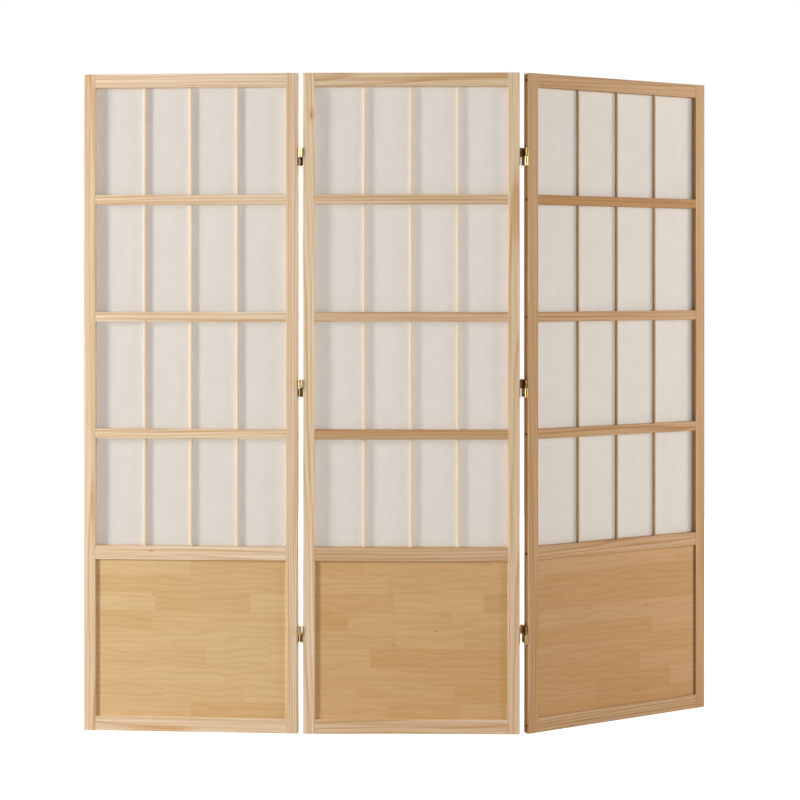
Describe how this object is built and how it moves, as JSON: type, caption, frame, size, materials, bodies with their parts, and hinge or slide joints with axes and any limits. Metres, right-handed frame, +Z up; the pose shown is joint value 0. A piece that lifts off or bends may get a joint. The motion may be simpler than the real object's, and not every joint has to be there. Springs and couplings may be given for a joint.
{
  "type": "folding screen",
  "caption": "Free-standing folding room divider of hinged pine panels, each a paper-backed lattice window above a solid stave board.",
  "frame": {"origin": "on the floor, under the middle of the whole screen's box as it stands", "axes": "+X to the right seen from the front and along the centre panel's width, +Y to the back, +Z up"},
  "size_m": [1.4564, 0.2418, 1.5],
  "materials": {
    "frame_pine": "planed and lightly sanded pine, clear matt oil",
    "muntin_pine": "planed and lightly sanded pine, clear matt oil",
    "bead_pine": "sawn and sanded pine",
    "stave_board": "edge-glued pine staves, sanded, clear matt oil",
    "window_paper": "off-white fibre paper, matt",
    "hinge_brass": "bright brass, slightly dulled",
    "hinge_screw_brass": "brass, slightly dulled",
    "frame_screw_steel": "black phosphated steel"
  },
  "bodies": {
    "centre_panel": {"centre_board": "stave_board", "centre_bottom_rail": "frame_pine", "centre_frame_screws": "frame_screw_steel", "centre_hinge_screws": "hinge_screw_brass", "centre_left_stile": "frame_pine", "centre_lock_rail": "frame_pine", "centre_lower_mid_rail": "frame_pine", "centre_middle_mid_rail": "frame_pine", "centre_muntins": "muntin_pine", "centre_paper": "window_paper", "centre_paper_beads": "bead_pine", "centre_right_stile": "frame_pine", "centre_top_rail": "frame_pine", "centre_upper_mid_rail": "frame_pine", "left_gap_centre_leaves": "hinge_brass", "right_gap_centre_leaves": "hinge_brass"},
    "left_links": {"left_gap_bottom_link": "hinge_brass", "left_gap_front_pins": "hinge_brass", "left_gap_middle_link": "hinge_brass", "left_gap_rear_pins": "hinge_brass", "left_gap_top_link": "hinge_brass"},
    "left_panel": {"left_board": "stave_board", "left_bottom_rail": "frame_pine", "left_frame_screws": "frame_screw_steel", "left_gap_wing_leaves": "hinge_brass", "left_hinge_screws": "hinge_screw_brass", "left_left_stile": "frame_pine", "left_lock_rail": "frame_pine", "left_lower_mid_rail": "frame_pine", "left_middle_mid_rail": "frame_pine", "left_muntins": "muntin_pine", "left_paper": "window_paper", "left_paper_beads": "bead_pine", "left_right_stile": "frame_pine", "left_top_rail": "frame_pine", "left_upper_mid_rail": "frame_pine"},
    "right_links": {"right_gap_bottom_link": "hinge_brass", "right_gap_front_pins": "hinge_brass", "right_gap_middle_link": "hinge_brass", "right_gap_rear_pins": "hinge_brass", "right_gap_top_link": "hinge_brass"},
    "right_panel": {"right_board": "stave_board", "right_bottom_rail": "frame_pine", "right_frame_screws": "frame_screw_steel", "right_gap_wing_leaves": "hinge_brass", "right_hinge_screws": "hinge_screw_brass", "right_left_stile": "frame_pine", "right_lock_rail": "frame_pine", "right_lower_mid_rail": "frame_pine", "right_middle_mid_rail": "frame_pine", "right_muntins": "muntin_pine", "right_paper": "window_paper", "right_paper_beads": "bead_pine", "right_right_stile": "frame_pine", "right_top_rail": "frame_pine", "right_upper_mid_rail": "frame_pine"}
  },
  "joints": [
    {"name": "left_rear_pins", "type": "hinge", "parent": "centre_panel", "child": "left_links", "pos_m": [-0.23036, -0.09633, 0.784], "axis": [0, 0, -1], "range_deg": [-2.6, 87.4]},
    {"name": "left_front_pins", "type": "hinge", "parent": "left_links", "child": "left_panel", "pos_m": [-0.2313, -0.11711, 0.784], "axis": [0, 0, 1], "range_deg": [0, 180]},
    {"name": "right_rear_pins", "type": "hinge", "parent": "centre_panel", "child": "right_links", "pos_m": [0.27264, -0.09633, 0.784], "axis": [0, 0, 1], "range_deg": [-26, 154]},
    {"name": "right_front_pins", "type": "hinge", "parent": "right_links", "child": "right_panel", "pos_m": [0.28176, -0.11503, 0.784], "axis": [0, 0, -1], "range_deg": [0, 90]}
  ]
}
